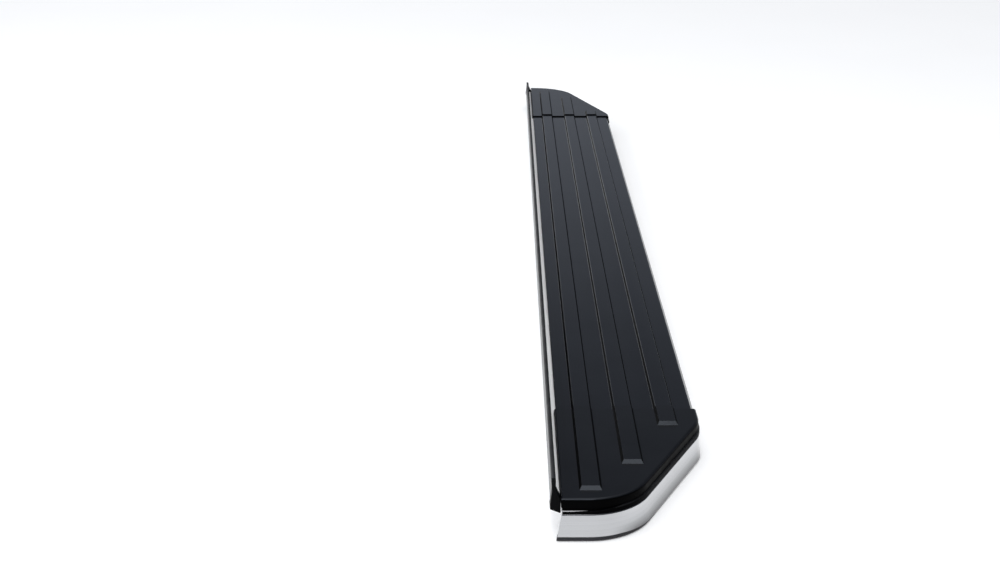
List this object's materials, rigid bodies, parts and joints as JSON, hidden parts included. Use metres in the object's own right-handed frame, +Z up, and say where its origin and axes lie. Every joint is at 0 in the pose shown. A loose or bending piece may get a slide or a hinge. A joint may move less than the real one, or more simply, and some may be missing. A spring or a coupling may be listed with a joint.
{
  "type": "running board",
  "caption": "Long vehicle side step: ribbed black tread plank between moulded end caps, polished steel outer trim, aluminium deck with sealed rear flange and underside bolt slots.",
  "frame": {"origin": "under the middle of the board, on the plane that the outer trim's lower edge rests on", "axes": "+X along the board towards the end with the longer cap, +Y towards the vehicle, +Z up"},
  "size_m": [1.8192, 0.1644, 0.0578],
  "materials": {
    "tread": "fine moulded grain, satin black",
    "cap_moulding": "fine moulded grain, satin black",
    "carrier_moulding": "semi-gloss black",
    "trim_steel": "polished stainless",
    "deck_aluminium": "satin extruded",
    "rail_aluminium": "mill extruded",
    "seal_rubber": "matte",
    "plug_moulding": "satin black",
    "clip_nylon": "satin black",
    "black_screws": "black phosphate",
    "rivet_steel": "plain",
    "spring_steel": "oiled dark",
    "bolt_steel": "zinc plated"
  },
  "bodies": {
    "board": {"deck_extrusion": "deck_aluminium", "outer_slot_rail": "rail_aluminium", "inner_slot_rail": "rail_aluminium", "tread_plank": "tread", "rear_end_cap": "cap_moulding", "front_end_cap": "cap_moulding", "rear_trim_carrier": "carrier_moulding", "front_trim_carrier": "carrier_moulding", "outer_trim": "trim_steel", "edge_seal": "seal_rubber", "rear_rail_cap": "plug_moulding", "front_rail_cap": "plug_moulding", "rear_cap_screws": "black_screws", "front_cap_screws": "black_screws", "rear_carrier_screws": "black_screws", "front_carrier_screws": "black_screws", "plank_clips": "clip_nylon", "slot_rail_rivets": "rivet_steel", "trim_rivets": "rivet_steel", "trim_clips": "spring_steel", "clip_rivets": "rivet_steel"},
    "rear_outer_bolt": {"rear_outer_bolt": "bolt_steel"},
    "rear_inner_bolt": {"rear_inner_bolt": "bolt_steel"},
    "middle_outer_bolt": {"middle_outer_bolt": "bolt_steel"},
    "middle_inner_bolt": {"middle_inner_bolt": "bolt_steel"},
    "front_outer_bolt": {"front_outer_bolt": "bolt_steel"},
    "front_inner_bolt": {"front_inner_bolt": "bolt_steel"}
  },
  "joints": [
    {"name": "rear_outer_bolt_slide", "type": "slide", "parent": "board", "child": "rear_outer_bolt", "axis": [1, 0, 0], "range_m": [-0.07, 0.27]},
    {"name": "rear_inner_bolt_slide", "type": "slide", "parent": "board", "child": "rear_inner_bolt", "axis": [1, 0, 0], "range_m": [-0.07, 0.27]},
    {"name": "middle_outer_bolt_slide", "type": "slide", "parent": "board", "child": "middle_outer_bolt", "axis": [1, 0, 0], "range_m": [-0.27, 0.27]},
    {"name": "middle_inner_bolt_slide", "type": "slide", "parent": "board", "child": "middle_inner_bolt", "axis": [1, 0, 0], "range_m": [-0.27, 0.27]},
    {"name": "front_outer_bolt_slide", "type": "slide", "parent": "board", "child": "front_outer_bolt", "axis": [1, 0, 0], "range_m": [-0.27, 0.07]},
    {"name": "front_inner_bolt_slide", "type": "slide", "parent": "board", "child": "front_inner_bolt", "axis": [1, 0, 0], "range_m": [-0.27, 0.07]}
  ]
}
